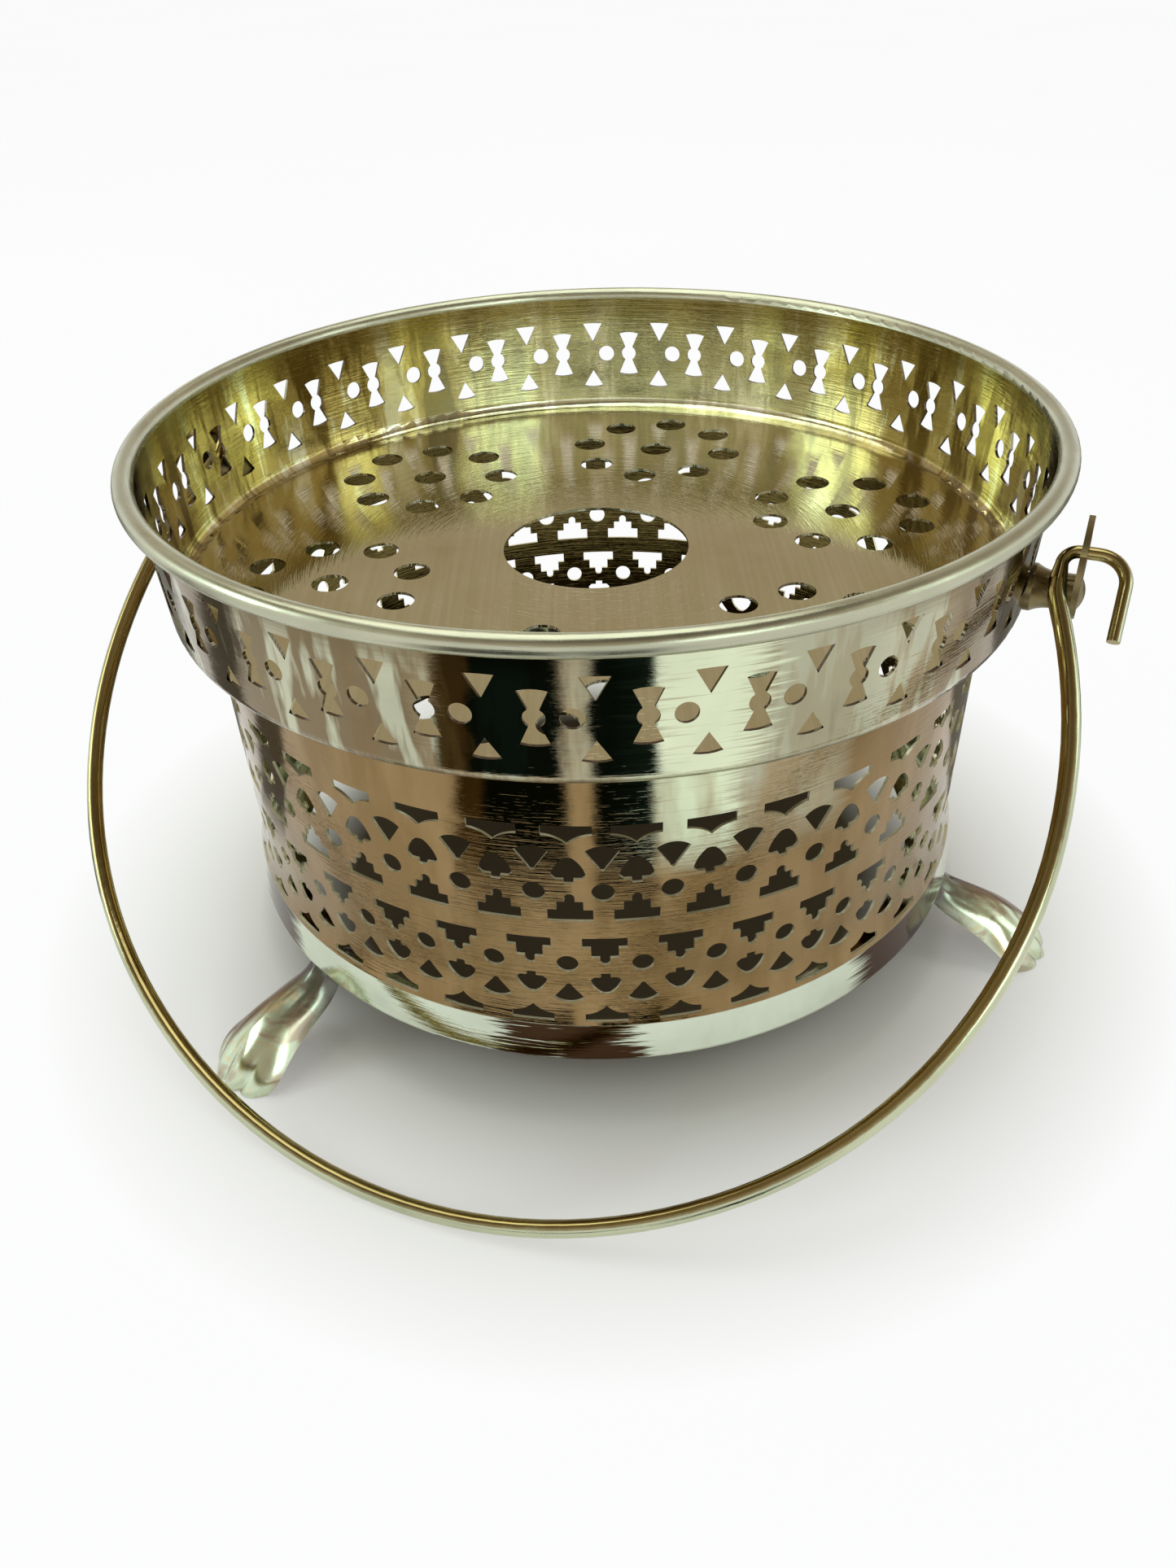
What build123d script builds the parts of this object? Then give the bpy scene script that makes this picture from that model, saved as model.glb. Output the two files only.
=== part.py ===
from build123d import *
from math import acos, asin, cos, degrees, pi, radians, sin, sqrt, tanh
import os

# Pierced brass warming lantern: a shallow pierced pan on a pierced drum, three legs, and a wire bail
# hooked into two ears. Millimetres, +Z up, origin on the pot's axis in the plane that the feet stand on.
# Azimuths are in degrees about +Z from the front (-Y), growing towards +X. The bail's hinge lies along X.

# ---- driving dimensions ----
sheet_t = 0.8                # spun sheet of pan and drum

rim_bead_r = 2.65            # outside radius of the rolled bead
rim_centre_r = 122.35        # pot axis to the centre of the bead
rim_centre_z = 157.2         # height of the bead's centre
bead_wire_gap = 0.08         # play of the core wire inside the bead
bead_end_deg = 125           # the curl stops this far below level, seen from its centre

deck_top_z = 120.4
pan_foot_r = 117.9           # pan's outer wall, extended down to the underside of its deck
pan_corner_r = 4.3
deck_hole_r = 26.5           # the large hole in the middle
vent_hole_r = 5.1
vent_clusters = 6
vent_cluster_r = 75.9        # pot axis to the middle of a cluster
vent_ring_r = 22.8
vent_ring_count = 8
vent_first_az = 8.0

drum_top_r = 108.8
drum_waist_r = 107.3
drum_waist_z = 51.2
foot_band_top_r = 108.9
foot_band_top_z = 38.7
foot_band_r = 110.3          # the band leans out towards its lower edge
foot_bottom_z = 26.4
foot_corner_r = 1.6
drum_flange_w = 5.0          # turned-in flange soldered under the pan
foot_lip_r = 97.0            # inner radius of the turned-in foot lip

collar_columns = 32
collar_first_az = 6.15
collar_disc_az = 3.8         # from a column's hourglass to its round hole
collar_wedge_az = 6.1        # from a column's hourglass to its pair of wedges
collar_hourglass = (6.6, 14.5, 2.6, 2.2, 2.45, 0.5)  # as hourglass() takes them, and so on below
collar_disc_r = 2.65
collar_mid_z = 138.5         # middle of the hourglasses and round holes
upper_wedge = (6.7, 6.3, 0.1)
upper_wedge_z = 145.75
lower_wedge = (6.7, 5.8, 0.5)
lower_wedge_z = 130.0

drum_columns = 36
drum_pattern_az = 23.6       # column that both halves of the drum pattern start from
closing_squeeze_deg = 1.8    # the upper rows were squeezed by this much where they close
closing_squeeze_span = 1.1   # columns over which the squeeze dies out
upper_bracket = (12.0, 5.4, 2.8)
upper_bracket_z = 100.0      # height of the outlines' middles, and so on below
upper_fan = (8.3, 7.5, 1.6, 0.75)
upper_fan_z = 92.95
upper_acorn = (8.4, 8.1, 2.4, 1.3, 1.1)
upper_acorn_z = 89.35
upper_disc_r = 2.8
upper_disc_z = 82.5
upper_steps = ((11.1, 6.5, 2.5), (3.7, 2.65, 2.45))
upper_steps_z = 77.7
lower_steps = ((11.1, 6.8, 2.5), (3.3, 3.3, 2.4))
lower_steps_z = 63.1
lower_disc_r = 2.75
lower_disc_z = 58.9
lower_acorn = (8.0, 7.1, 2.4, 1.3, 1.1)
lower_acorn_z = 52.05
lower_fan = (8.0, 6.4, 1.5, 0.75)
lower_fan_z = 48.9
lower_bracket = (10.9, 4.8, 2.2)
lower_bracket_z = 42.3

wire_r = 2.25                # bail wire
hook_wire_r = 1.6            # drawn down to this where it hooks into the ear
pivot_z = 139.3
hinge_gap = 0.08             # radial play of the wire in the ear
bail_half_w = 138.4          # widest half width, to the wire's centre
bail_wide_v = 70.3           # distance from the hinge down to the widest place
bail_upper_r = 140.0
bail_lower_r = 124.05
bail_bottom_r = 146.9
bail_inner_arm = 125.3       # half width where the wire enters the ear
bail_blend_r = 15.0
hook_inner_bend_r = 3.7
hook_outer_bend_r = 7.3
hook_outer_arm = 140.7
hook_tail_v = 21.3
bail_rest_gap = 0.1          # between the resting bail and the surface under it

ear_t = 1.5
ear_w = 18.0
ear_gap = 2.3                # between the bail's inner arm and the ear
ear_below = 17.0             # ear's lower end, below the pivot
ear_above = 9.7              # ear's pointed tip, above the pivot
post_drop = 11.0             # ear post's axis, below the pivot
post_waist_r = 4.6
post_flange_r = 6.0
post_flange_t = 1.2
post_tenon_r = 2.6
post_head_r = 3.9
post_head_t = 1.3
solid_fit = 0.04             # play between pieces that are riveted or peened together

leg_azimuths = {"front": -26.0, "right": 94.0, "rear": 214.0}
leg_swings = {"front": -4.5, "right": 7.5, "rear": 0.0}  # how far each points away from straight out
leg_t = 1.3
leg_stations = [             # crown's reach and height, its slope down, section's width, arch and toe grooves
    (107.5, 28.6, 45, 12.9, 4.5, 0.0),
    (113.5, 22.6, 31, 15.0, 6.6, 0.0),
    (124.0, 18.2, 29, 19.4, 8.0, 0.0),
    (133.0, 12.8, 37, 25.5, 8.2, 0.1),
    (139.5, 7.0, 50, 29.0, 7.4, 1.1),
    (143.2, 1.6, 66, 25.0, 6.4, 1.5),
    (144.0, -1.0, 80, 22.0, 5.5, 1.5),
]
toe_count = 4
arch_points = 8 * toe_count  # drawn along each section's arch
tab_w = 13.0
tab_in_r = 97.5
tab_rivet_r = 100.9
tab_rivet_pitch = 6.4
rivet_r = 1.5
rivet_head_r = 2.9
rivet_head_h = 1.3

# ---- sizes that follow ----
deck_low_z = deck_top_z - sheet_t
rim_inner_r = rim_centre_r - rim_bead_r
wall_top_r = rim_inner_r + sheet_t
lip_top_z = foot_bottom_z + sheet_t
tab_low_z = foot_bottom_z - leg_t
leg_root_r = leg_stations[0][0]
ear_inner_x = bail_inner_arm + hook_wire_r + ear_gap
ear_outer_x = ear_inner_x + ear_t
post_z = pivot_z - post_drop


def unit(azimuth):
    """Outward horizontal direction at an azimuth."""
    return Vector(sin(radians(azimuth)), -cos(radians(azimuth)), 0)


def wall_plane(azimuth, distance):
    """Plane facing outward at an azimuth: its x runs to the right around the pot, its y is height."""
    return Plane(origin=unit(azimuth) * distance, x_dir=unit(azimuth + 90), z_dir=unit(azimuth))


def pan_outer_r(height):
    """Outside radius of the pan's tapered wall."""
    rise = (height - deck_low_z) / (rim_centre_z - deck_low_z)
    return pan_foot_r + rise * (wall_top_r - pan_foot_r)


def rivet_places():
    """Centres of the leg rivets: two for each leg, side by side under the foot lip."""
    return [
        unit(azimuth) * tab_rivet_r + unit(azimuth + 90) * (side * tab_rivet_pitch / 2)
        for azimuth in leg_azimuths.values()
        for side in (-1, 1)
    ]


# ---- punched outlines, each drawn about its own middle ----
def wedge(width, height, bulge):
    """Triangle with its point down and its top edge bowed up."""
    top = height / 2 - bulge
    with BuildSketch() as outline:
        with BuildLine():
            ThreePointArc((-width / 2, top), (0, height / 2), (width / 2, top))
            Line((width / 2, top), (0, -height / 2))
            Line((0, -height / 2), (-width / 2, top))
        make_face()
    return outline.sketch


def hourglass(width, height, waist, waist_y, middle_r, bulge):
    """Two flared ends joined through a round middle."""
    top = height / 2 - bulge
    with BuildSketch() as outline:
        with BuildLine():
            ThreePointArc((-width / 2, top), (0, height / 2), (width / 2, top))
            Line((width / 2, top), (waist / 2, waist_y))
            Line((waist / 2, waist_y), (waist / 2, -waist_y))
            Line((waist / 2, -waist_y), (width / 2, -top))
            ThreePointArc((width / 2, -top), (0, -height / 2), (-width / 2, -top))
            Line((-width / 2, -top), (-waist / 2, -waist_y))
            Line((-waist / 2, -waist_y), (-waist / 2, waist_y))
            Line((-waist / 2, waist_y), (-width / 2, top))
        make_face()
        Circle(middle_r)
    return outline.sketch


def bracket(width, height, side):
    """Flat top, short sides, and two hollow curves that meet in a point below."""
    top = height / 2
    low = top - side
    hollow_x = 0.22 * width
    hollow_y = 0.7 * low - 0.3 * top
    with BuildSketch() as outline:
        with BuildLine():
            Line((-width / 2, top), (width / 2, top))
            Line((width / 2, top), (width / 2, low))
            ThreePointArc((width / 2, low), (hollow_x, hollow_y), (0, -top))
            ThreePointArc((0, -top), (-hollow_x, hollow_y), (-width / 2, low))
            Line((-width / 2, low), (-width / 2, top))
        make_face()
    return outline.sketch


def fan(width, height, dome, tip_r):
    """Domed top over straight sides that close on a small round tip."""
    shoulder = height / 2 - dome
    low = -height / 2 + tip_r
    with BuildSketch() as outline:
        with BuildLine():
            ThreePointArc((-width / 2, shoulder), (0, height / 2), (width / 2, shoulder))
            Line((width / 2, shoulder), (tip_r, low))
            ThreePointArc((tip_r, low), (0, -height / 2), (-tip_r, low))
            Line((-tip_r, low), (-width / 2, shoulder))
        make_face()
    return outline.sketch


def acorn(width, height, stem_w, stem_h, corner):
    """Blunt dome with bowed sides on a flat base, and a short stem under it."""
    base = -height / 2 + stem_h
    shoulder = base + corner
    nose = (0.13 * width, height / 2 - 0.025 * width)
    side = (0.385 * width, (shoulder + height / 2) / 2)
    with BuildSketch() as outline:
        with BuildLine():
            ThreePointArc((-nose[0], nose[1]), (0, height / 2), nose)
            ThreePointArc(nose, side, (width / 2, shoulder))
            Line((width / 2, shoulder), (width / 2 - corner, base))
            Line((width / 2 - corner, base), (corner - width / 2, base))
            Line((corner - width / 2, base), (-width / 2, shoulder))
            ThreePointArc((-width / 2, shoulder), (-side[0], side[1]), (-nose[0], nose[1]))
        make_face()
        with Locations((0, base)):
            Rectangle(stem_w, 2 * stem_h)
    return outline.sketch


def steps(widths, heights):
    """Stepped pyramid, listed from its base up, with a round top."""
    low = -sum(heights) / 2
    top_r = widths[-1] / 2
    with BuildSketch() as outline:
        for width, height in zip(widths[:-1], heights):
            with Locations((0, low)):
                Rectangle(width, height, align=(Align.CENTER, Align.MIN))
            low += height
        with Locations((0, low)):
            Rectangle(widths[-1], heights[-1] - top_r, align=(Align.CENTER, Align.MIN))
        with Locations((0, low + heights[-1] - top_r)):
            Circle(top_r)
    return outline.sketch


def disc(radius):
    with BuildSketch() as outline:
        Circle(radius)
    return outline.sketch


def punch(outline, height, azimuth=0.0, turn=0, wall_r=drum_waist_r):
    """Radial punch with its outline's middle at a height on the wall."""
    reach = 7.0
    with BuildPart() as tool:
        with BuildSketch(wall_plane(azimuth, wall_r - reach)):
            with Locations((0, height)):
                add(outline, rotation=turn)
        extrude(amount=2 * reach)
    return tool.part


def around(azimuths):
    """Turns about the pot's axis that carry a punch at azimuth 0 to each azimuth."""
    return [Location((0, 0, 0), (0, 0, 1), azimuth) for azimuth in azimuths]


def upper_azimuths(shift):
    """Columns of the drum's upper rows, which close up slightly at the front."""
    pitch = (180 + closing_squeeze_deg) / (drum_columns / 2)
    columns = [index + shift - drum_columns / 2 for index in range(drum_columns)]
    return [
        drum_pattern_az + pitch * column - closing_squeeze_deg * tanh(column / closing_squeeze_span)
        for column in columns
    ]


def lower_azimuths(shift):
    """Evenly spaced columns of the drum's lower rows."""
    return [drum_pattern_az + (index + shift) * 360 / drum_columns for index in range(drum_columns)]


# ---- upper pan: deck, tapered wall and rolled bead, pierced ----
core_r = rim_bead_r - sheet_t
curl_end = Vector(cos(radians(bead_end_deg)), -sin(radians(bead_end_deg)))
bead_centre = Vector(rim_centre_r, rim_centre_z)

with BuildPart() as upper_pan:
    with BuildSketch(Plane.XZ) as pan_profile:
        with BuildLine():
            Line((deck_hole_r, deck_low_z), (pan_foot_r, deck_low_z))
            Line((pan_foot_r, deck_low_z), (wall_top_r, rim_centre_z))
            ThreePointArc(
                (wall_top_r, rim_centre_z),
                (rim_centre_r + core_r, rim_centre_z),
                bead_centre + curl_end * core_r,
            )
            Line(bead_centre + curl_end * core_r, bead_centre + curl_end * rim_bead_r)
            ThreePointArc(
                bead_centre + curl_end * rim_bead_r,
                (rim_centre_r + rim_bead_r, rim_centre_z),
                (rim_inner_r, rim_centre_z),
            )
            Line((rim_inner_r, rim_centre_z), (pan_foot_r - sheet_t, deck_top_z))
            Line((pan_foot_r - sheet_t, deck_top_z), (deck_hole_r, deck_top_z))
            Line((deck_hole_r, deck_top_z), (deck_hole_r, deck_low_z))
        make_face()
        fillet(pan_profile.vertices().sort_by_distance((pan_foot_r, deck_low_z))[0], pan_corner_r)
        inner_corner = pan_profile.vertices().sort_by_distance((pan_foot_r - sheet_t, deck_top_z))[0]
        fillet(inner_corner, pan_corner_r - sheet_t)
    revolve(axis=Axis.Z)
    with BuildSketch(Plane.XY.offset(deck_low_z)):
        with PolarLocations(vent_cluster_r, vent_clusters, vent_first_az - 90):
            Circle(vent_hole_r)
            with PolarLocations(vent_ring_r, vent_ring_count):
                Circle(vent_hole_r)
    extrude(amount=sheet_t, mode=Mode.SUBTRACT)
    collar_row = [
        punch(hourglass(*collar_hourglass), collar_mid_z, wall_r=pan_foot_r),
        punch(disc(collar_disc_r), collar_mid_z, collar_disc_az, wall_r=pan_foot_r),
        punch(wedge(*upper_wedge), upper_wedge_z, collar_wedge_az, wall_r=pan_foot_r),
        punch(wedge(*lower_wedge), lower_wedge_z, collar_wedge_az, 180, pan_foot_r),
    ]
    collar_turns = around([collar_first_az + index * 360 / collar_columns for index in range(collar_columns)])
    add([turn * tool for turn in collar_turns for tool in collar_row], mode=Mode.SUBTRACT, clean=False)
upper_pan.part.label = "upper_pan"

# ---- core wire inside the rolled bead ----
with BuildPart() as rim_wire:
    with BuildSketch(Plane.XZ):
        with Locations((rim_centre_r, rim_centre_z)):
            Circle(core_r - bead_wire_gap)
    revolve(axis=Axis.Z)
rim_wire.part.label = "rim_wire"

# ---- drum: tapered wall, flared foot band and turned-in lip, pierced ----
with BuildPart() as drum:
    with BuildSketch(Plane.XZ) as drum_profile:
        with BuildLine():
            flare_mid = ((drum_waist_r * 3 + foot_band_top_r) / 4, (drum_waist_z + foot_band_top_z) / 2)
            for inset in (0, sheet_t):
                top = deck_low_z - inset
                low = foot_bottom_z + inset
                Line((drum_top_r - inset, top), (drum_waist_r - inset, drum_waist_z))
                ThreePointArc(
                    (drum_waist_r - inset, drum_waist_z),
                    (flare_mid[0] - inset, flare_mid[1]),
                    (foot_band_top_r - inset, foot_band_top_z),
                )
                Line((foot_band_top_r - inset, foot_band_top_z), (foot_band_r - inset, low))
                Line((foot_band_r - inset, low), (foot_lip_r, low))
                Line((drum_top_r - inset, top), (drum_top_r - drum_flange_w, top))
            Line((foot_lip_r, foot_bottom_z), (foot_lip_r, lip_top_z))
            Line((drum_top_r - drum_flange_w, deck_low_z - sheet_t), (drum_top_r - drum_flange_w, deck_low_z))
        make_face()
        fillet(drum_profile.vertices().sort_by_distance((foot_band_r, foot_bottom_z))[0], foot_corner_r)
        inner_corner = drum_profile.vertices().sort_by_distance((foot_band_r - sheet_t, lip_top_z))[0]
        fillet(inner_corner, foot_corner_r - sheet_t)
    revolve(axis=Axis.Z)
    upper_rows = [
        (punch(bracket(*upper_bracket), upper_bracket_z), 0.5),
        (punch(fan(*upper_fan), upper_fan_z), 0),
        (punch(acorn(*upper_acorn), upper_acorn_z), 0.5),
        (punch(disc(upper_disc_r), upper_disc_z), 0),
        (punch(steps(*upper_steps), upper_steps_z), 0.5),
    ]
    lower_rows = [
        (punch(steps(*lower_steps), lower_steps_z, turn=180), 0),
        (punch(disc(lower_disc_r), lower_disc_z), 0.5),
        (punch(acorn(*lower_acorn), lower_acorn_z, turn=180), 0),
        (punch(fan(*lower_fan), lower_fan_z, turn=180), 0.5),
        (punch(bracket(*lower_bracket), lower_bracket_z, turn=180), 0),
    ]
    punches = [turn * tool for tool, shift in upper_rows for turn in around(upper_azimuths(shift))]
    punches += [turn * tool for tool, shift in lower_rows for turn in around(lower_azimuths(shift))]
    add(punches, mode=Mode.SUBTRACT, clean=False)
    with BuildSketch(Plane.XY.offset(foot_bottom_z)):
        with Locations(*rivet_places()):
            Circle(rivet_r + solid_fit)
    extrude(amount=sheet_t, mode=Mode.SUBTRACT)
drum.part.label = "drum"


# ---- leg rivets ----
def dome_radius(base_r, height):
    """Radius of the ball whose cap has this base radius and height."""
    return (base_r**2 + height**2) / (2 * height)


def rivet(low, high):
    """Rivet on the Z axis that clamps what lies between two heights, with a low dome at each end."""
    dome_r = dome_radius(rivet_head_r, rivet_head_h)
    with BuildPart() as pin:
        with BuildSketch(Plane.XZ):
            with BuildLine():
                Line((0, low - rivet_head_h), (0, high + rivet_head_h))
                RadiusArc((0, high + rivet_head_h), (rivet_head_r, high), dome_r)
                Line((rivet_head_r, high), (rivet_r, high))
                Line((rivet_r, high), (rivet_r, low))
                Line((rivet_r, low), (rivet_head_r, low))
                RadiusArc((rivet_head_r, low), (0, low - rivet_head_h), dome_r)
            make_face()
        revolve(axis=Axis.Z)
    return pin.part


with BuildPart() as leg_rivets:
    with Locations(*rivet_places()):
        add(rivet(tab_low_z, lip_top_z))
leg_rivets.part.label = "leg_rivets"


# ---- legs: arched sheet that sweeps out to a turned-down paw, with a tab under the foot lip ----
def leg_plane(side, station):
    """Plane across a leg at a station: its x runs around the pot, its y stands off the crown."""
    reach, crown_z, slope = station[:3]
    heading = leg_azimuths[side] + leg_swings[side]
    root = unit(leg_azimuths[side]) * leg_root_r
    crown = root + unit(heading) * (reach - leg_root_r) + Vector(0, 0, crown_z)
    along = unit(heading) * cos(radians(slope)) - Vector(0, 0, sin(radians(slope)))
    return Plane(origin=crown, x_dir=unit(heading + 90), z_dir=along)


def arch(width, rise, inset, groove):
    """Round arch over its chord, drawn inset below its crown, with grooves that part its toes."""
    radius = (width**2 / 4 + rise**2) / (2 * rise)
    half_turn = acos((radius - rise) / (radius - inset))
    line = []
    for index in range(arch_points + 1):
        turn = half_turn * (2 * index / arch_points - 1)
        depth = groove * (1 - abs(sin(toe_count * pi * index / arch_points)))
        reach = radius - inset - depth
        line.append((reach * sin(turn), reach * cos(turn) - radius))
    base_y = line[0][1] - 2 * inset - 0.01
    with BuildSketch() as outline:
        with BuildLine():
            Spline(*line)
            Line(line[-1], (line[-1][0], base_y))
            Line((line[-1][0], base_y), (line[0][0], base_y))
            Line((line[0][0], base_y), line[0])
        make_face()
    return outline.sketch


def leg(side):
    """One leg, hollow below, cut flat under the drum and on the ground."""
    with BuildPart() as hollow:
        for station in leg_stations:
            width, rise, groove = station[3:]
            with BuildSketch(leg_plane(side, station)):
                add(arch(width, rise, leg_t + groove, 0))
        loft()
        split(bisect_by=Plane.XY.offset(tab_low_z), keep=Keep.BOTTOM)
    with BuildPart() as shell:
        for station in leg_stations:
            width, rise, groove = station[3:]
            with BuildSketch(leg_plane(side, station)):
                add(arch(width, rise, 0, groove))
        loft()
        split(bisect_by=Plane.XY, keep=Keep.TOP)
        split(bisect_by=Plane.XY.offset(foot_bottom_z), keep=Keep.BOTTOM)
        add(hollow.part, mode=Mode.SUBTRACT)
        tab_plane = Plane(origin=(0, 0, tab_low_z), x_dir=unit(leg_azimuths[side]), z_dir=(0, 0, 1))
        with BuildSketch(tab_plane):
            with Locations((tab_in_r, 0)):
                Rectangle(leg_root_r - tab_in_r, tab_w, align=(Align.MIN, Align.CENTER))
        extrude(amount=leg_t)
        with BuildSketch(Plane.XY.offset(tab_low_z)):
            with Locations(*rivet_places()):
                Circle(rivet_r + solid_fit)
        extrude(amount=leg_t, mode=Mode.SUBTRACT)
    return shell.part


legs = {"leg_" + side: leg(side) for side in leg_azimuths}
for name, part in legs.items():
    part.label = name

# ---- ears: a pointed leaf-shaped plate on a short post, one at each end of the hinge ----
with BuildPart() as pan_envelope:
    with BuildSketch(Plane.XZ):
        with BuildLine():
            Polyline(
                (0, deck_low_z), (pan_outer_r(deck_low_z), deck_low_z),
                (pan_outer_r(rim_centre_z), rim_centre_z), (0, rim_centre_z), close=True,
            )
        make_face()
    revolve(axis=Axis.Z)

ear_face = Plane(origin=(ear_inner_x, 0, pivot_z), x_dir=(0, 1, 0), z_dir=(1, 0, 0))

with BuildPart() as ear_plate_right:
    with BuildSketch(ear_face):
        with BuildLine():
            widest = ear_w / 2 - ear_below
            neck = (0.34 * ear_w, 0.16 * ear_above)
            upper_mid = (0.12 * ear_w, 0.54 * ear_above)
            low_mid = (ear_w / 2 * sqrt(0.5), widest - ear_w / 2 * sqrt(0.5))
            ThreePointArc((0, -ear_below), low_mid, (ear_w / 2, widest))
            TangentArc((ear_w / 2, widest), neck, tangent=(0, 1))
            ThreePointArc(neck, upper_mid, (0, ear_above))
            mirror(about=Plane.YZ)
        make_face()
        Circle(hook_wire_r + hinge_gap, mode=Mode.SUBTRACT)
        with Locations((0, -post_drop)):
            Circle(post_tenon_r + solid_fit, mode=Mode.SUBTRACT)
    extrude(amount=ear_t)

with BuildPart() as ear_post_right:
    with BuildSketch(Plane(origin=(0, 0, post_z), x_dir=(1, 0, 0), z_dir=(0, -1, 0))):
        with BuildLine():
            wall_x = pan_outer_r(post_z)
            flange_x = wall_x + post_flange_t
            buried_x = wall_x - 2 * post_flange_t
            head_x = ear_outer_x + post_head_t
            Line((buried_x, 0), (buried_x, post_flange_r))
            Line((buried_x, post_flange_r), (flange_x, post_flange_r))
            ThreePointArc(
                (flange_x, post_flange_r),
                ((3 * flange_x + ear_inner_x) / 4, (post_flange_r + 3 * post_waist_r) / 4),
                ((flange_x + ear_inner_x) / 2, post_waist_r),
            )
            Line(((flange_x + ear_inner_x) / 2, post_waist_r), (ear_inner_x, post_waist_r))
            Line((ear_inner_x, post_waist_r), (ear_inner_x, post_tenon_r))
            Line((ear_inner_x, post_tenon_r), (ear_outer_x, post_tenon_r))
            Line((ear_outer_x, post_tenon_r), (ear_outer_x, post_head_r))
            RadiusArc((head_x, 0), (ear_outer_x, post_head_r), -dome_radius(post_head_r, post_head_t))
            Line((head_x, 0), (buried_x, 0))
        make_face()
    revolve(axis=Axis((0, 0, post_z), (1, 0, 0)))
    add(pan_envelope.part, mode=Mode.SUBTRACT)

ears = {}
for name, right in (("ear_plate", ear_plate_right.part), ("ear_post", ear_post_right.part)):
    with BuildPart() as left:
        mirror(right, about=Plane.YZ)
    ears[name + "_right"] = right
    ears[name + "_left"] = left.part
for name, part in ears.items():
    part.label = name

# ---- bail: one bent wire, symmetric about x = 0, drawn in its own plane with the hinge as its x axis ----
lower_x = bail_half_w - bail_lower_r
bottom_y = sqrt((bail_bottom_r - bail_lower_r) ** 2 - lower_x**2) - bail_wide_v
bail_drop = bail_bottom_r - bottom_y
rest_angle = degrees(acos((pivot_z - wire_r - bail_rest_gap) / bail_drop))
bottom_join = degrees(asin(lower_x / (bail_bottom_r - bail_lower_r)))

upper_x = bail_half_w - bail_upper_r
blend_x = bail_inner_arm + bail_blend_r
blend_y = sqrt((bail_upper_r + bail_blend_r) ** 2 - (blend_x - upper_x) ** 2) - bail_wide_v
blend_turn = degrees(asin((blend_y + bail_wide_v) / (bail_upper_r + bail_blend_r)))

bail_plane = Plane(
    origin=(0, 0, pivot_z),
    x_dir=(1, 0, 0),
    z_dir=(0, -cos(radians(rest_angle)), sin(radians(rest_angle))),
)

with BuildPart() as bail:
    with BuildLine(bail_plane) as hook_path:
        Line((hook_outer_arm, -hook_tail_v), (hook_outer_arm, -hook_outer_bend_r))
        CenterArc((hook_outer_arm - hook_outer_bend_r, -hook_outer_bend_r), hook_outer_bend_r, 0, 90)
        Line((hook_outer_arm - hook_outer_bend_r, 0), (bail_inner_arm + hook_inner_bend_r, 0))
        CenterArc((bail_inner_arm + hook_inner_bend_r, -hook_inner_bend_r), hook_inner_bend_r, 90, 90)
    with BuildLine(bail_plane) as loop_path:
        CenterArc((blend_x, blend_y), bail_blend_r, 180, blend_turn)
        CenterArc((upper_x, -bail_wide_v), bail_upper_r, 0, blend_turn)
        CenterArc((lower_x, -bail_wide_v), bail_lower_r, bottom_join - 90, 90 - bottom_join)
        CenterArc((0, bottom_y), bail_bottom_r, -90, bottom_join)
    tail_end = bail_plane.from_local_coords(Vector(hook_outer_arm, -hook_tail_v))
    neck_top = bail_plane.from_local_coords(Vector(bail_inner_arm, -hook_inner_bend_r))
    neck_low = bail_plane.from_local_coords(Vector(bail_inner_arm, blend_y))
    with BuildSketch(Plane(origin=tail_end, x_dir=(1, 0, 0), z_dir=bail_plane.y_dir)):
        Circle(hook_wire_r)
    sweep(path=hook_path.wires()[0])
    with BuildSketch(Plane(origin=neck_low, x_dir=(1, 0, 0), z_dir=bail_plane.y_dir)):
        Circle(wire_r)
    sweep(path=loop_path.wires()[0])
    with BuildSketch(Plane(origin=neck_low, x_dir=(1, 0, 0), z_dir=bail_plane.y_dir)):
        Circle(wire_r)
    with BuildSketch(Plane(origin=neck_top, x_dir=(1, 0, 0), z_dir=bail_plane.y_dir)):
        Circle(hook_wire_r)
    loft()
    mirror(about=Plane.YZ)
bail.part.label = "bail"

# ---- one STEP file per piece ----
os.makedirs("parts", exist_ok=True)
single = (upper_pan, rim_wire, drum, leg_rivets, bail)
for piece in [builder.part for builder in single] + list(legs.values()) + list(ears.values()):
    export_step(piece, f"parts/{piece.label}.step")
print("bail hangs", round(rest_angle, 2), "degrees forward of straight down")
print("hinge to bottom", round(bail_drop, 2))
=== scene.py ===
import math
from collections import namedtuple

import bpy
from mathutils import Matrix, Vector


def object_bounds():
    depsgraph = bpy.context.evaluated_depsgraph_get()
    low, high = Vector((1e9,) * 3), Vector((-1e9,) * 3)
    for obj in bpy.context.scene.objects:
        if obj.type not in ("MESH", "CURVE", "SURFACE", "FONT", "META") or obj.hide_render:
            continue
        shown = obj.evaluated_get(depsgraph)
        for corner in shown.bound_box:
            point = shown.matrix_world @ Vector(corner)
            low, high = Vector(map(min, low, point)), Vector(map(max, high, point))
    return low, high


# Looks of a pierced brass bowl on a pierced drum, with three cast legs and a wire bail. Every shape is a CAD
# node: this script gives each one its brass, and puts a studio and a camera round them. Metres. Azimuths are
# in degrees about the pot's axis, from -Y and growing towards +X.

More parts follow.
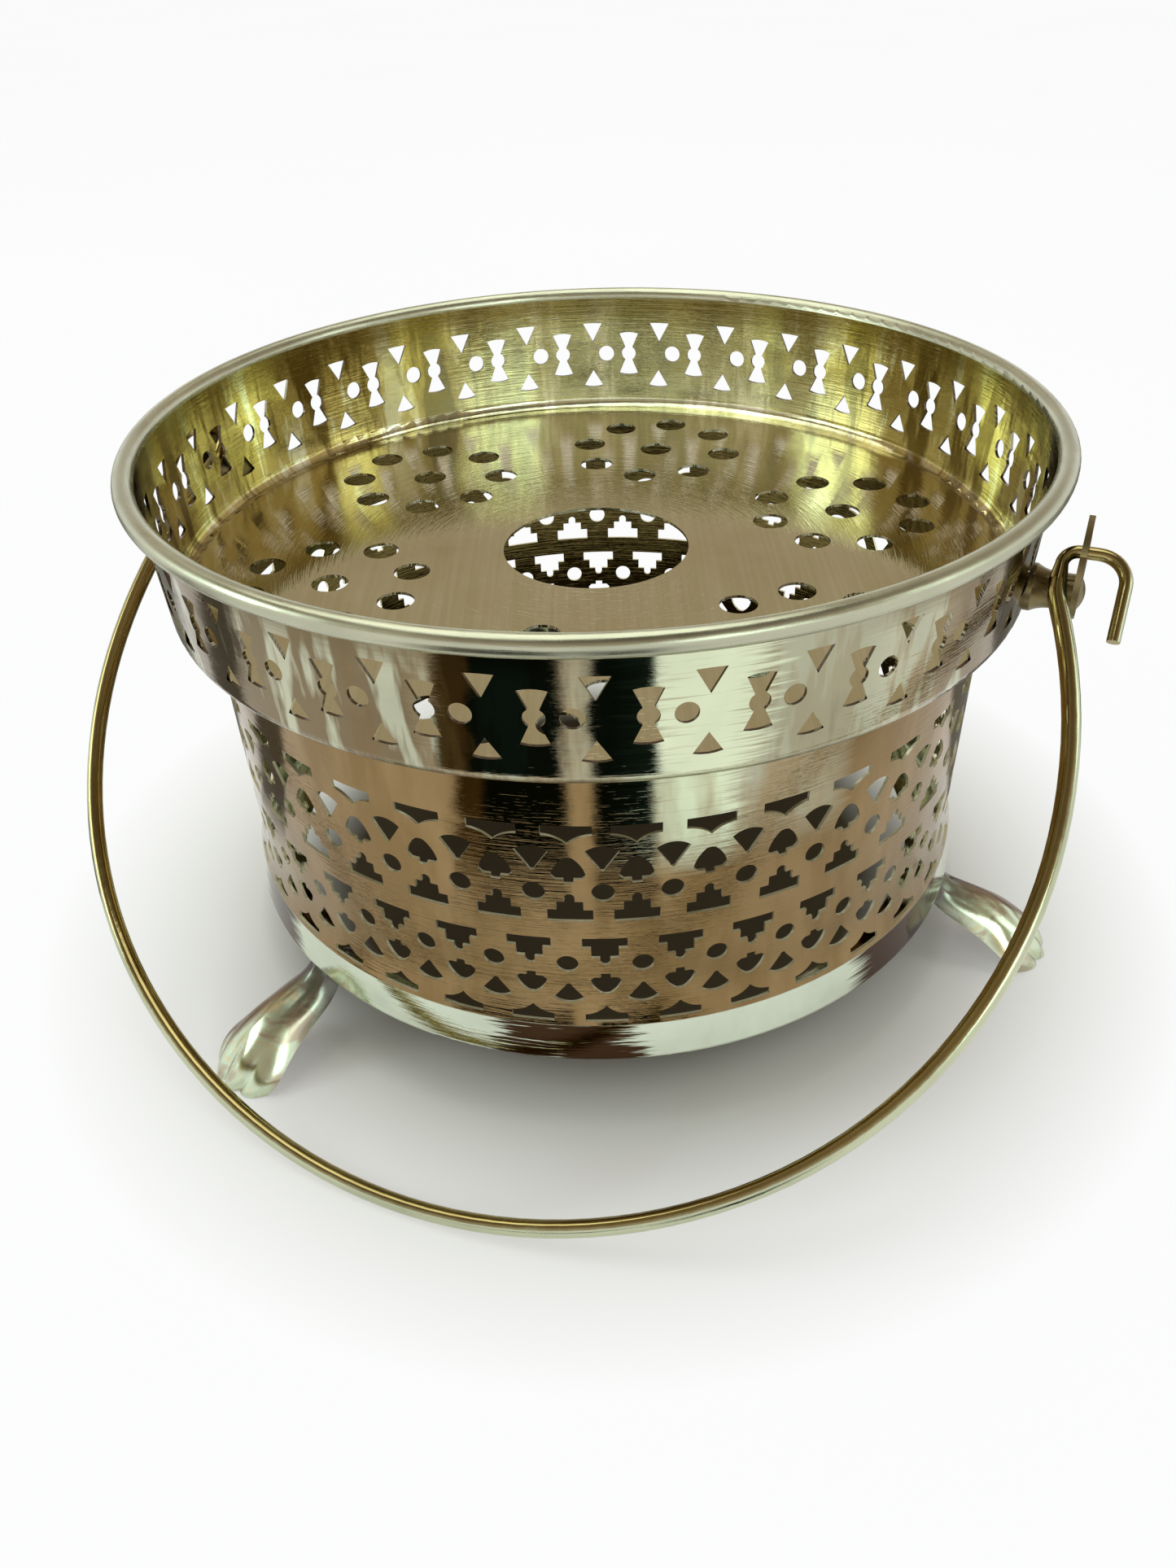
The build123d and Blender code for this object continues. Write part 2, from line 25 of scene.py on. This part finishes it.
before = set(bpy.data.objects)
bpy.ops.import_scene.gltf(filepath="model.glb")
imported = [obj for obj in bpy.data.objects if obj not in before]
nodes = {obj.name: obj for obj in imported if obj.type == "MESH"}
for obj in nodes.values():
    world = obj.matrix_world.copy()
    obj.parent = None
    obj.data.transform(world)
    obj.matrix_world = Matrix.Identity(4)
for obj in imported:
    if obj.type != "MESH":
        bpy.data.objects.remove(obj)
cad_low, cad_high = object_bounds()

camera_azimuth = 24.0

# ---------------------------------------------------------------- node helpers

# where a surface point lies on the object: its coordinates, its unit direction and distance from the axis,
# its height, the share of its normal that points away from the axis, its normal's parts, and its x and y
Place = namedtuple("Place", "point across reach height outward facing flat")


class Tree:
    """The node tree of a material or world, emptied, with short ways to add and join its nodes."""

    def __init__(self, owner):
        owner.use_nodes = True
        self.owner = owner
        self.nodes = owner.node_tree.nodes
        self.links = owner.node_tree.links
        self.nodes.clear()

    def add(self, kind, inputs=None, **settings):
        node = self.nodes.new(kind)
        for key, value in settings.items():
            setattr(node, key, value)
        for key, value in (inputs or {}).items():
            self.set(node.inputs[key], value)
        return node

    def set(self, socket, value):
        if isinstance(value, bpy.types.NodeSocket):
            self.links.new(value, socket)
        else:
            socket.default_value = value

    def close(self, kind, shader):
        """Join a shader to an output node of this kind."""
        out = self.add(kind)
        self.links.new(shader.outputs[0], out.inputs["Surface"])

    def math(self, operation, *values):
        node = self.add("ShaderNodeMath", operation=operation)
        for socket, value in zip(node.inputs, values):
            self.set(socket, value)
        return node.outputs[0]

    def dot(self, pair, weights):
        """First of the pair times the first weight, plus second times second."""
        return self.math("MULTIPLY_ADD", pair[0], weights[0], self.math("MULTIPLY", pair[1], weights[1]))

    def spread(self, value, low, high, to_low, to_high):
        node = self.add("ShaderNodeMapRange", clamp=True)
        keys = ("Value", "From Min", "From Max", "To Min", "To Max")
        for key, given in zip(keys, (value, low, high, to_low, to_high)):
            self.set(node.inputs[key], given)
        return node.outputs["Result"]

    def above(self, value, low, high, strength=1.0):
        """Zero where the value is under low, growing to strength at high."""
        return self.spread(value, low, high, 0.0, strength)

    def below(self, value, low, high, strength=1.0):
        """Strength where the value is under low, falling to zero at high."""
        return self.spread(value, low, high, strength, 0.0)

    def rest(self, share):
        """The share that another leaves."""
        return self.math("SUBTRACT", 1.0, share)

    def noise(self, where, scale, detail, roughness=0.5, distortion=0.0):
        node = self.add("ShaderNodeTexNoise", {"Vector": where, "Scale": scale, "Detail": detail})
        node.inputs["Roughness"].default_value = roughness
        node.inputs["Distortion"].default_value = distortion
        return node.outputs["Fac"]

    def join(self, x, y, z):
        node = self.add("ShaderNodeCombineXYZ")
        for socket, value in zip(node.inputs, (x, y, z)):
            self.set(socket, value)
        return node.outputs[0]

    def blend(self, share, first, second, **settings):
        """Second laid over first, by a share."""
        node = self.add("ShaderNodeMix", data_type="RGBA", **settings)
        for key, value in (("Factor", share), ("A", first), ("B", second)):
            self.set(node.inputs[key], value)
        return node.outputs["Result"]

    def bump(self, height, strength, distance, normal=None):
        """Normal of a bumped surface, on top of another normal where one is given."""
        inputs = {"Height": height, "Strength": strength, "Distance": distance}
        if normal:
            inputs["Normal"] = normal
        return self.add("ShaderNodeBump", inputs).outputs[0]

    def place(self):
        """The point's Place, read from the object's own coordinates and normal."""
        spot = self.add("ShaderNodeTexCoord").outputs
        x, y, z = self.add("ShaderNodeSeparateXYZ", {"Vector": spot["Object"]}).outputs
        reach = self.math("SQRT", self.dot((x, y), (x, y)))
        across = self.math("DIVIDE", x, reach), self.math("DIVIDE", y, reach)
        facing = self.add("ShaderNodeSeparateXYZ", {"Vector": spot["Normal"]}).outputs
        return Place(spot["Object"], across, reach, z, self.dot(across, facing), facing, (x, y))


def colour(red, green, blue):
    return (red, green, blue, 1.0)


# ---------------------------------------------------------------- brass

# a side of the pot: azimuth, half width, half width with its soft edge, and strength
Side = namedtuple("Side", "azimuth narrow wide strength", defaults=(1.0,))

bright_reflection_side = Side(34.0, 4.0, 8.0)                # painted pale reflection, a narrow strip just right of the side facing the camera
# painted pale reflections, fainter and wider, beside it: on the pan, then on the drum
half_bright_reflection_side = Side(37.0, 14.0, 19.0, 0.6)
drum_half_bright_reflection_side = Side(40.0, 10.0, 17.0)
unshaded_side = Side(37.0, 12.0, 20.0)                 # no painted shade under the bead here
rear_reflection_side = Side(196.0, 8.0, 48.0, 0.8)             # palest part of the inside wall, a painted pale reflection
# painted dark reflections on two sides of the outside wall
dark_reflection_sides = (Side(-26.0, 30.0, 35.0, 0.85), Side(86.0, 20.0, 27.0, 0.7))
band_dark_reflections = (                                    # painted dark reflections on the foot band
    Side(13.0, 3.5, 5.5),
    Side(22.0, 4.8, 6.5),
    Side(73.5, 9.5, 13.0),
    Side(-37.5, 6.0, 9.0),
)
rear_leg_side = Side(224.0, 30.0, 45.0)
shaded_azimuth = 204.0                          # painted shade: legs are brown where they face this way, away from the camera

deck_z = 0.1204             # top of the deck
bead_foot_z = 0.1546        # where the outside wall meets the bead
bead_top_z = 0.1568         # all above this is bead
bead_edge = 0.0004          # height over which the bead's satin sets in
band_top_z = 0.0386         # top of the foot band
band_edge = 0.0002
# ranges of height over which a tone sets in, and of the distance from the axis over which the legs' root ends
deck_range = (deck_z + 0.001, deck_z + 0.003)
wall_range = (deck_z + 0.004, deck_z + 0.005)
upper_edge_range = (0.146, 0.154)
under_bead_range = (0.147, 0.152)
drum_upper_range = (0.086, 0.098)
leg_root_range = (0.110, 0.123)

# streaks: how many lie round the axis, and how many per metre along the profile
spun_lines = (5.0, 1400.0)
bead_lines = (14.0, 1100.0)
bail_lines = (40.0, 500.0)
cast_lines = (30.0, 300.0)
ear_lines = (60.0, 400.0)
profile_lean = 0.83         # weight of the distance from the axis against the height
side_ragged = 0.03          # how far streaks reach over a side's edge
# broad upright bands: how many lie round the axis, and how fast they waver with height
pan_bands = 9.0
drum_bands = 6.0
band_waver = 14.0

# direction and fineness of the deck's brushed grain, per metre of x and y
deck_grain_across = (520.0, 232.0)
deck_grain_along = (4.0, -9.0)

# linear colours of the upper pan
golden = (0.60, 0.50, 0.20)
# painted dark reflections and painted glints in the inside wall's upright bands
golden_dark_reflection = (0.20, 0.14, 0.035)
golden_glint = (0.95, 0.97, 0.74)
golden_upper_edge = (0.26, 0.20, 0.06)
# painted pale reflection
pale_reflection = (0.74, 0.80, 0.56)
half_pale_reflection = (0.37, 0.37, 0.255)
tan = (0.41, 0.33, 0.20)
# painted dark reflection
dark_reflection_brown = (0.18, 0.135, 0.072)
# painted pale and dark reflections in the outside wall's upright bands
mint = (0.58, 0.60, 0.44)
brown = (0.22, 0.15, 0.075)
# painted shade under the bead
under_bead_shade = (0.20, 0.15, 0.075)
# painted shade on the holes' cut edges
cut_edge_shade = (0.13, 0.105, 0.075)
deck_grain = (0.72, 0.68, 0.50)
bead_satin = (0.52, 0.52, 0.38)
# of the drum
# painted pale reflections on the drum
drum_pale_reflection = (0.70, 0.78, 0.54)
drum_half_pale_reflection = (0.43, 0.42, 0.30)
drum_pink = (0.33, 0.225, 0.105)
# painted shade
drum_inside_shade = (0.26, 0.20, 0.07)
# painted highlight
cut_edge_highlight = (0.92, 0.88, 0.66)
band_pale = (0.72, 0.79, 0.64)
# painted dark reflection on the foot band
band_dark_reflection = (0.06, 0.03, 0.014)
# of the bail and legs
# painted sheen on the bail's outer side
bail_painted_sheen = (0.56, 0.60, 0.42)
cast_pink = (0.46, 0.30, 0.22)
cast_gold = (0.80, 0.66, 0.36)
# painted shade on the legs' far side
cast_painted_shade = (0.19, 0.11, 0.045)
# painted shade where the legs meet the drum
cast_root_shade = (0.055, 0.045, 0.05)

# least and most roughness
spun_rough = (0.02, 0.07)
bead_rough = (0.20, 0.38)
cut_rough = (0.35, 0.55)
wire_rough = (0.07, 0.18)
worn_wire_rough = (0.18, 0.32)
cast_rough = (0.15, 0.30)
core_wire_rough = (0.24, 0.42)
ear_rough = (0.22, 0.42)
wear_range = (0.35, 0.68)   # wear over which the roughness grows from its least to its most
wear_of_streaks = 0.55      # and the rest of the wear comes from the stains

brushed = 0.2               # anisotropy of the spun sheet
scratch_depth = 0.0002
dent_depth = 0.002
dent_scale = 38.0


class Brass(Tree):
    """Brass with fine polishing lines round the axis, clouded by tarnish. Each finish adds its own zones."""

    def __init__(self, name, bright, dull, lines):
        super().__init__(bpy.data.materials.new(name))
        self.at = self.place()
        round_axis, per_metre = lines
        along = [self.math("MULTIPLY", part, round_axis) for part in self.at.across]
        profile = self.math("MULTIPLY_ADD", self.at.reach, profile_lean, self.at.height)
        profile = self.math("MULTIPLY", profile, per_metre)
        self.streaks = self.noise(self.join(*along, profile), 1.0, detail=3.5, roughness=0.62)
        self.cloud = self.noise(self.at.point, 24.0, detail=4.0, roughness=0.6, distortion=0.4)
        self.stain = self.noise(self.at.point, 95.0, detail=5.0, roughness=0.65)
        self.mottle = self.spread(self.cloud, 0.3, 0.7, 1.1, 0.85)
        clouded = self.above(self.cloud, 0.42, 0.72)
        tarnish = self.math("MULTIPLY", clouded, self.spread(self.stain, 0.35, 0.7, 0.25, 1.0))
        self.base = self.blend(tarnish, colour(*bright), colour(*dull))

    def ragged(self, value, reach):
        """A value whose edges follow the polishing lines."""
        return self.math("MULTIPLY_ADD", self.math("SUBTRACT", self.streaks, 0.5), reach, value)

    def towards(self, pair, azimuth):
        """How far a direction's x and y lean towards an azimuth."""
        turn = math.radians(azimuth - 90.0)
        return self.dot(pair, (math.cos(turn), math.sin(turn)))

    def on(self, side):
        """The side's strength in the middle of it, falling to zero at its soft edge."""
        near = self.ragged(self.towards(self.at.across, side.azimuth), side_ragged)
        edge = math.cos(math.radians(side.wide))
        core = math.cos(math.radians(side.narrow))
        return self.above(near, edge, core, side.strength)

    def faces(self, azimuth, low, high):
        """Zero to one as the surface turns to face an azimuth."""
        return self.above(self.towards(self.at.facing, azimuth), low, high)

    def bands(self, count):
        """Broad upright bands round the axis, with wavering sides."""
        round_axis = [self.math("MULTIPLY", part, count) for part in self.at.across]
        waver = self.math("MULTIPLY", self.at.height, band_waver)
        return self.noise(self.join(*round_axis, waver), 1.0, detail=4.0, roughness=0.62)

    def cut_edges(self):
        """The sawn edges of the holes in the upright walls, which face neither in nor out."""
        return self.below(self.math("ABSOLUTE", self.at.outward), 0.45, 0.65)

    def tone(self, tint, share, *more):
        """Lay another tone where all the shares hold, still mottled by the tarnish beneath."""
        for other in more:
            share = self.math("MULTIPLY", share, other)
        over = self.blend(1.0, colour(*tint), self.mottle, blend_type="MULTIPLY")
        self.base = self.blend(share, self.base, over)

    def finish(self, rough, scratch, dent, anisotropic=0.0, satin=None, smooth=None):
        """Close the material. satin is a share and its own roughness, smooth a share without scratches."""
        wear = self.dot((self.streaks, self.stain), (wear_of_streaks, 1.0 - wear_of_streaks))
        roughness = self.spread(wear, *wear_range, *rough)
        if satin:
            share, satin_rough = satin
            lift = self.math("SUBTRACT", self.spread(wear, *wear_range, *satin_rough), roughness)
            roughness = self.math("MULTIPLY_ADD", share, lift, roughness)
        if smooth:
            scratch = self.math("MULTIPLY", self.rest(smooth), scratch)
        scratches = self.bump(self.streaks, scratch, scratch_depth)
        dents = self.bump(self.noise(self.at.point, dent_scale, detail=1.0), dent, dent_depth, scratches)
        surface = {"Base Color": self.base, "Roughness": roughness, "Normal": dents, "Metallic": 1.0}
        shader = self.add("ShaderNodeBsdfPrincipled", surface)
        if anisotropic:
            shader.inputs["Anisotropic"].default_value = anisotropic
            tangent = self.add("ShaderNodeTangent", direction_type="RADIAL", axis="Z")
            self.set(shader.inputs["Tangent"], tangent.outputs[0])
        self.close("ShaderNodeOutputMaterial", shader)
        return self.owner


def sheet_finish():
    """Upper pan: brushed deck, golden inside wall, paler outside wall, satin bead, with painted reflections
    in bands and sides and painted shade under the bead and on cut edges.
    """
    brass = Brass("sheet_brass", bright=(0.60, 0.57, 0.36), dull=(0.54, 0.46, 0.26), lines=spun_lines)
    height = brass.at.height
    bands = brass.bands(pan_bands)

    inside = brass.below(brass.at.outward, -0.5, -0.2)
    brass.tone(golden, inside)
    # painted dark reflections in upright bands; painted glints in others below
    brass.tone(golden_dark_reflection, inside, brass.below(bands, 0.42, 0.49, 0.95))
    # painted pale reflection at the rear of the inside wall
    brass.tone(pale_reflection, inside, brass.on(rear_reflection_side))
    brass.tone(golden_glint, inside, brass.above(bands, 0.54, 0.61))
    brass.tone(golden_upper_edge, inside, brass.above(brass.ragged(height, 0.01), *upper_edge_range, 0.75))

    outside = brass.above(brass.at.outward, 0.3, 0.6)
    brass.tone(tan, outside)
    # painted dark reflections on two sides of the outside wall
    for side in dark_reflection_sides:
        brass.tone(dark_reflection_brown, outside, brass.on(side))
    # painted pale and dark reflections in upright bands
    brass.tone(mint, outside, brass.above(bands, 0.52, 0.58, 0.8))
    brass.tone(brown, outside, brass.below(bands, 0.40, 0.46, 0.85))
    # painted pale reflections near the side facing the camera
    brass.tone(half_pale_reflection, outside, brass.on(half_bright_reflection_side))
    brass.tone(pale_reflection, outside, brass.on(bright_reflection_side))
    # painted shade under the bead, except on the unshaded side
    under_bead = brass.above(brass.ragged(height, 0.006), *under_bead_range, 0.7)
    brass.tone(under_bead_shade, outside, under_bead, brass.rest(brass.on(unshaded_side)))

    # painted shade on the holes' cut edges in the walls
    brass.tone(cut_edge_shade, brass.above(height, *wall_range), brass.cut_edges())
    grain_across = brass.dot(brass.at.flat, deck_grain_across)
    grain_along = brass.dot(brass.at.flat, deck_grain_along)
    grain = brass.noise(brass.join(grain_across, grain_along, 0.0), 1.0, detail=3.0, roughness=0.6)
    brass.tone(deck_grain, brass.below(height, *deck_range), brass.above(grain, 0.42, 0.66, 0.5))

    bead = brass.math("MULTIPLY", outside, brass.above(height, bead_foot_z, bead_foot_z + bead_edge))
    bead = brass.math("MAXIMUM", bead, brass.above(height, bead_top_z, bead_top_z + bead_edge))
    brass.tone(bead_satin, bead)
    return brass.finish(spun_rough, scratch=0.34, dent=0.05, anisotropic=brushed, satin=(bead, bead_rough))


def drum_finish():
    """Drum: dark tan with pinker upright bands, painted pale reflections near the camera's side, painted
    shade inside, painted highlights on cut edges, and a pale foot band with painted dark reflections.
    """
    brass = Brass("drum_brass", bright=(0.24, 0.155, 0.062), dull=(0.16, 0.10, 0.038), lines=spun_lines)
    height = brass.at.height

    # painted pale reflections on the upper part, near the side facing the camera
    upper_part = brass.above(brass.ragged(height, 0.012), *drum_upper_range)
    brass.tone(drum_half_pale_reflection, upper_part, brass.on(drum_half_bright_reflection_side))
    brass.tone(drum_pale_reflection, upper_part, brass.on(bright_reflection_side))
    above_band = brass.above(height, band_top_z, band_top_z + band_edge)
    brass.tone(drum_pink, brass.above(brass.bands(drum_bands), 0.42, 0.60, 0.7), above_band)
    # painted shade on the drum's inside
    brass.tone(drum_inside_shade, brass.below(brass.at.outward, -0.65, -0.45))
    edges = brass.cut_edges()
    # painted highlight on the holes' cut edges
    brass.tone(cut_edge_highlight, edges)

    foot_band = brass.below(height, band_top_z - band_edge, band_top_z + band_edge)
    brass.tone(band_pale, foot_band)
    # painted dark reflections on the foot band
    for patch in band_dark_reflections:
        brass.tone(band_dark_reflection, foot_band, brass.on(patch))
    cut = brass.math("MULTIPLY", edges, brass.rest(foot_band))
    smooth = brass.math("MULTIPLY", foot_band, 0.7)
    return brass.finish(
        spun_rough, scratch=0.38, dent=0.05, anisotropic=brushed, satin=(cut, cut_rough), smooth=smooth
    )


def bail_finish():
    """Bail wire: olive-brown, with a painted paler sheen along its outer side, which is also rougher."""
    brass = Brass("bail_brass", bright=(0.42, 0.335, 0.135), dull=(0.24, 0.18, 0.065), lines=bail_lines)
    # painted paler sheen on the outer side, which is also given more roughness
    pale_sheen_and_wear = brass.above(brass.ragged(brass.at.outward, 0.3), 0.45, 0.75, 0.9)
    brass.tone(bail_painted_sheen, pale_sheen_and_wear)
    return brass.finish(wire_rough, scratch=0.12, dent=0.1, satin=(pale_sheen_and_wear, worn_wire_rough))


def cast_finish():
    """Cast legs: mottled pale, pink and gold, with painted shade: brown on the side facing away from the
    camera, and dark at the root.
    """
    brass = Brass("cast_brass", bright=(0.66, 0.76, 0.57), dull=(0.62, 0.66, 0.44), lines=cast_lines)
    mottle = brass.noise(brass.at.point, 110.0, detail=3.0, distortion=1.2)
    brass.tone(cast_pink, brass.above(mottle, 0.50, 0.62, 0.6))
    brass.tone(cast_gold, brass.below(mottle, 0.36, 0.44, 0.6))
    # painted shade on the side facing away from the camera, except on the rear leg
    shaded_side = brass.faces(shaded_azimuth, -0.25, -0.02)
    brass.tone(cast_painted_shade, shaded_side, brass.rest(brass.on(rear_leg_side)))
    # painted shade where the legs meet the drum
    brass.tone(cast_root_shade, brass.below(brass.at.reach, *leg_root_range, 0.85))
    return brass.finish(cast_rough, scratch=0.1, dent=0.3)


def bead_finish():
    """Core wire of the rolled bead: dull brass of one kind all over."""
    brass = Brass("bead_brass", bright=(0.50, 0.47, 0.32), dull=(0.38, 0.33, 0.19), lines=bead_lines)
    return brass.finish(core_wire_rough, scratch=0.5, dent=0.1)


def ear_finish():
    """Ear plates and posts: dark olive brass, never polished."""
    brass = Brass("ear_brass", bright=(0.22, 0.175, 0.085), dull=(0.12, 0.09, 0.04), lines=ear_lines)
    return brass.finish(ear_rough, scratch=0.4, dent=0.3)


finishes = (
    (sheet_finish(), ("upper_pan",)),
    (drum_finish(), ("drum",)),
    (cast_finish(), ("leg_front", "leg_right", "leg_rear", "leg_rivets")),
    (bead_finish(), ("rim_wire",)),
    (bail_finish(), ("bail",)),
    (ear_finish(), ("ear_plate_right", "ear_plate_left", "ear_post_right", "ear_post_left")),
)
for material, names in finishes:
    for name in names:
        nodes[name].data.materials.clear()
        nodes[name].data.materials.append(material)

# ---------------------------------------------------------------- studio

scene = bpy.context.scene
scene.view_settings.view_transform = "Standard"
middle = (cad_low + cad_high) / 2

floor_gap = 0.0002          # the floor lies this far under the feet, and the flags this far over it
floor_z = cad_low.z - floor_gap
floor_half = 30.0
floor_tones = ((0.97, 0.98, 0.975), (0.985, 0.995, 0.99))
floor_whiteness = 0.96      # of the floor that isn't shaded by the object, where 1 is white
open_range = (0.11, 0.185)  # distance from the axis over which that sets in

# painted shade on the floor right under the pot, which shows through its holes: middle, and range over which
# it ends
under_pot_shade_centre = (-0.0033, 0.0073)
under_pot_shade_range = (0.086, 0.118)
under_pot_shade = (0.085, 0.066, 0.042)

# tones of the room by height above the horizon, from 0 to 1: pale backdrop, wall, ceiling
room_tones = (
    (0.29, (0.97, 0.975, 0.97)),
    (0.38, (0.46, 0.385, 0.30)),
    (0.62, (0.46, 0.385, 0.30)),
    (0.90, (0.16, 0.13, 0.10)),
)

window_tint = (0.80, 1.0, 1.0)
sky_tint = (0.93, 1.0, 0.95)
# name, turn to the right of the camera's side, rise, distance, width and height, watts, tint
lamps = (
    ("skylight", -150, 74, 1.3, (1.3, 1.1), 8.5, sky_tint),
    ("window_left", -84, 25, 1.5, (0.62, 0.55), 3.6, window_tint),
    ("window_near", 30, 24, 1.5, (0.60, 0.40), 2.4, window_tint),
    ("window_right", 80, 25, 1.5, (0.40, 0.55), 1.2, window_tint),
)

# cards on the floor round the object, seen only in the metal
flag_steps = 8
night = (0.008, 0.014, 0.012)
# name, first and last azimuth, nearest and farthest reach, tone
flags = (
    ("flag_front_left", (-3.0, 16.3), (0.197, 0.60), night),
    ("flag_front_brown", (-9.5, -3.0), (0.197, 0.60), (0.16, 0.12, 0.06)),
    ("flag_front_right", (21.8, 35.0), (0.197, 0.60), night),
    ("flag_side_left", (-76.0, -62.0), (0.16, 1.20), (0.22, 0.21, 0.20)),
    ("flag_back_left", (-175.0, -91.0), (0.128, 1.20), (0.27, 0.26, 0.26)),
    ("flag_side_right", (126.0, 185.0), (0.135, 1.20), (0.28, 0.27, 0.26)),
)

camera_location = (0.13581, -0.30504, 0.27743)
camera_degrees = (54.1364, 1.7882, 23.5507)
camera_lens = 29.03
camera_sensor = 36.0
camera_near = 0.01


def add_card(name, points, faces, height, material):
    """A flat piece of the studio. It isn't part of the object."""
    mesh = bpy.data.meshes.new(name)
    mesh.from_pydata(points, [], faces)
    mesh.materials.append(material)
    made = bpy.data.objects.new(name, mesh)
    scene.collection.objects.link(made)
    made.location.z = height
    return made


def floor_material():
    """Pale floor that keeps the object's shadow near it, with painted shade right under the pot, and shows as
    white farther out.
    """
    tree = Tree(bpy.data.materials.new("pale_floor"))
    at = tree.place()
    grain = tree.noise(at.point, 3.0, detail=2.0)
    pale = tree.blend(grain, *[colour(*tone) for tone in floor_tones])
    from_centre = [tree.math("SUBTRACT", part, centre) for part, centre in zip(at.flat, under_pot_shade_centre)]
    from_centre = tree.math("SQRT", tree.dot(from_centre, from_centre))
    # painted shade on the floor under the pot
    tone = tree.blend(tree.below(from_centre, *under_pot_shade_range), pale, colour(*under_pot_shade))
    lit = tree.add("ShaderNodeBsdfDiffuse", {"Color": tone})
    white = tree.add("ShaderNodeEmission", {"Color": tone})
    ray = tree.add("ShaderNodeLightPath").outputs
    seen = tree.math("MAXIMUM", ray["Is Camera Ray"], ray["Is Glossy Ray"])
    seen = tree.math("MAXIMUM", seen, ray["Is Transmission Ray"])
    share = tree.math("MULTIPLY", seen, tree.above(at.reach, *open_range, floor_whiteness))
    mix = tree.add("ShaderNodeMixShader", {"Fac": share, 1: lit.outputs[0], 2: white.outputs[0]})
    tree.close("ShaderNodeOutputMaterial", mix)
    return tree.owner


def add_room():
    """World that is pale at the horizon and darker above."""
    world = bpy.data.worlds.new("studio")
    scene.world = world
    tree = Tree(world)
    spot = tree.add("ShaderNodeTexCoord").outputs
    parts = tree.add("ShaderNodeSeparateXYZ", {"Vector": spot["Generated"]}).outputs
    ramp = tree.add("ShaderNodeValToRGB", {"Fac": parts[2]})
    stops = ramp.color_ramp.elements
    for index, (position, tone) in enumerate(room_tones):
        stop = stops[index] if index < len(stops) else stops.new(position)
        stop.position = position
        stop.color = colour(*tone)
    background = tree.add("ShaderNodeBackground", {"Color": ramp.outputs["Color"], "Strength": 1.0})
    tree.close("ShaderNodeOutputWorld", background)


def add_lamp(name, turn, rise, distance, size, power, tint):
    """Soft box aimed at the middle of the object."""
    azimuth = math.radians(turn + camera_azimuth)
    rise = math.radians(rise)
    away = Vector((math.sin(azimuth) * math.cos(rise), -math.cos(azimuth) * math.cos(rise), math.sin(rise)))
    lamp = bpy.data.lights.new(name, "AREA")
    lamp.shape = "RECTANGLE"
    lamp.size, lamp.size_y = size
    lamp.energy = power
    lamp.color = tint
    made = bpy.data.objects.new(name, lamp)
    scene.collection.objects.link(made)
    made.location = middle + away * distance
    made.rotation_mode = "QUATERNION"
    made.rotation_quaternion = (-away).to_track_quat("-Z", "Y")


def add_flag(name, azimuths, reaches, tone):
    """Card in the shape of a ring's part, seen only in the metal."""
    tree = Tree(bpy.data.materials.new(name))
    tree.close("ShaderNodeOutputMaterial", tree.add("ShaderNodeBsdfDiffuse", {"Color": colour(*tone)}))
    first, last = azimuths
    points = []
    for reach in reaches:
        for step in range(flag_steps + 1):
            azimuth = math.radians(first + (last - first) * step / flag_steps)
            points.append((math.sin(azimuth) * reach, -math.cos(azimuth) * reach, 0.0))
    row = flag_steps + 1
    faces = [(i, i + 1, i + 1 + row, i + row) for i in range(flag_steps)]
    made = add_card(name, points, faces, floor_z + floor_gap, tree.owner)
    for ray in ("camera", "diffuse", "shadow", "transmission"):
        setattr(made, "visible_" + ray, False)


def add_camera():
    data = bpy.data.cameras.new("camera")
    data.lens = camera_lens
    data.sensor_width = camera_sensor
    data.clip_start = camera_near
    made = bpy.data.objects.new("camera", data)
    scene.collection.objects.link(made)
    made.location = camera_location
    made.rotation_euler = [math.radians(angle) for angle in camera_degrees]
    scene.camera = made


corners = [(x * floor_half, y * floor_half, 0.0) for x, y in ((-1, -1), (1, -1), (1, 1), (-1, 1))]
add_card("floor", corners, [(0, 1, 2, 3)], floor_z, floor_material())
add_room()
for lamp in lamps:
    add_lamp(*lamp)
for flag in flags:
    add_flag(*flag)
add_camera()
